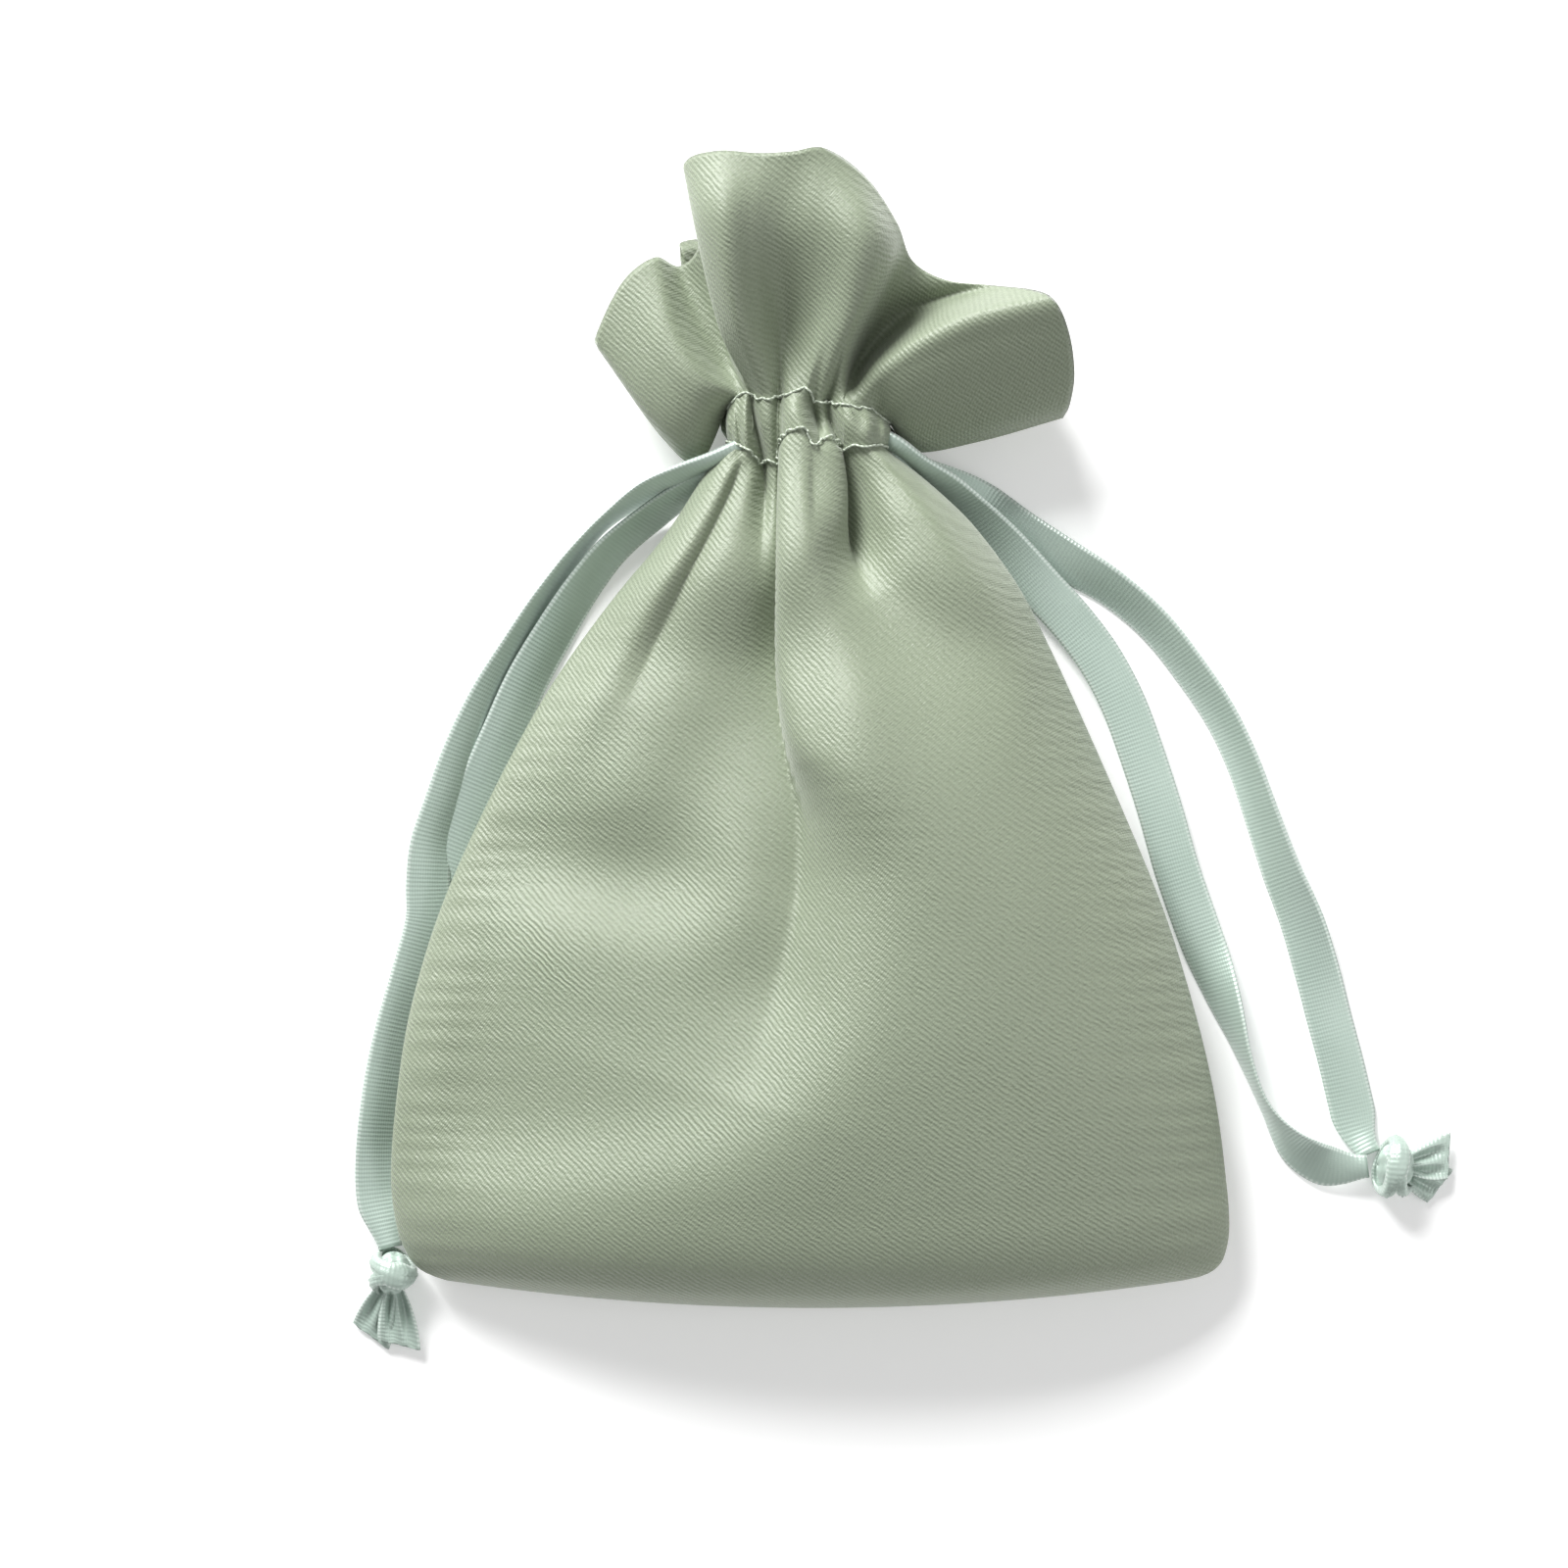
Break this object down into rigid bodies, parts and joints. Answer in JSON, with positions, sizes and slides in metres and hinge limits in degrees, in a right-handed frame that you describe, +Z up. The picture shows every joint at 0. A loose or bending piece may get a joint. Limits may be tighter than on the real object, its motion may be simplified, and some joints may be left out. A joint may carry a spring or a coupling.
{
  "type": "drawstring gift sack",
  "caption": "Satin drawstring gift sack lying flat, its neck gathered by ribbons in a stitched channel below a ruffled mouth, with a knotted pull loop on each side.",
  "frame": {"origin": "on the table, under the middle of the sack's extent, its loose pull loops left out", "axes": "+Z up from the table that the sack lies on, +Y from the base seam to the mouth, +X to the right across the sack as seen from above"},
  "size_m": [0.1753, 0.1827, 0.035],
  "materials": {
    "satin": "satin",
    "satin_inside": "satin",
    "thread": "satin",
    "ribbon": "satin"
  },
  "bodies": {
    "back": {"back_panel": "satin", "left_seam_allowance": "satin_inside", "right_seam_allowance": "satin_inside", "base_seam_allowance": "satin_inside", "back_channel": "satin", "back_channel_lining": "satin_inside", "back_lower_stitches": "thread", "back_upper_stitches": "thread", "back_run_left_ribbon": "ribbon", "back_run_right_ribbon": "ribbon", "back_ruffle": "satin"},
    "front": {"front_panel": "satin", "front_channel": "satin", "front_channel_lining": "satin_inside", "front_lower_stitches": "thread", "front_upper_stitches": "thread", "front_run_left_ribbon": "ribbon", "front_run_right_ribbon": "ribbon", "front_ruffle": "satin"},
    "left_loop": {"left_strand_outer": "ribbon", "left_strand_inner": "ribbon"},
    "left_pull_knot": {"left_knot": "ribbon", "left_tail_lower": "ribbon", "left_tail_upper": "ribbon"},
    "right_loop": {"right_strand_inner": "ribbon", "right_strand_outer": "ribbon"},
    "right_pull_knot": {"right_knot": "ribbon", "right_tail_lower": "ribbon", "right_tail_upper": "ribbon"}
  },
  "joints": [
    {"name": "mouth_open", "type": "hinge", "parent": "back", "child": "front", "pos_m": [0, -0.0866, 0.005], "axis": [1, 0, 0], "range_deg": [0, 10]},
    {"name": "left_swing", "type": "hinge", "parent": "back", "child": "left_loop", "pos_m": [-0.0146, 0.0458, 0.009], "axis": [0, 0, -1], "range_deg": [0, 35]},
    {"name": "left_pull", "type": "slide", "parent": "left_loop", "child": "left_pull_knot", "axis": [0.1, -0.995, 0], "range_m": [-0.0225, 0], "deforming": ["left_strand_outer", "left_strand_inner"]},
    {"name": "right_swing", "type": "hinge", "parent": "back", "child": "right_loop", "pos_m": [0.0138, 0.046, 0.009], "axis": [0, 0, 1], "range_deg": [0, 35]},
    {"name": "right_pull", "type": "slide", "parent": "right_loop", "child": "right_pull_knot", "axis": [0.5621, -0.8271, 0], "range_m": [-0.0225, 0], "deforming": ["right_strand_outer", "right_strand_inner"]}
  ],
  "couplings": [
    {"joint": "left_pull", "follows": "mouth_open", "m_per_rad": -0.1285},
    {"joint": "right_pull", "follows": "mouth_open", "m_per_rad": -0.1285}
  ]
}
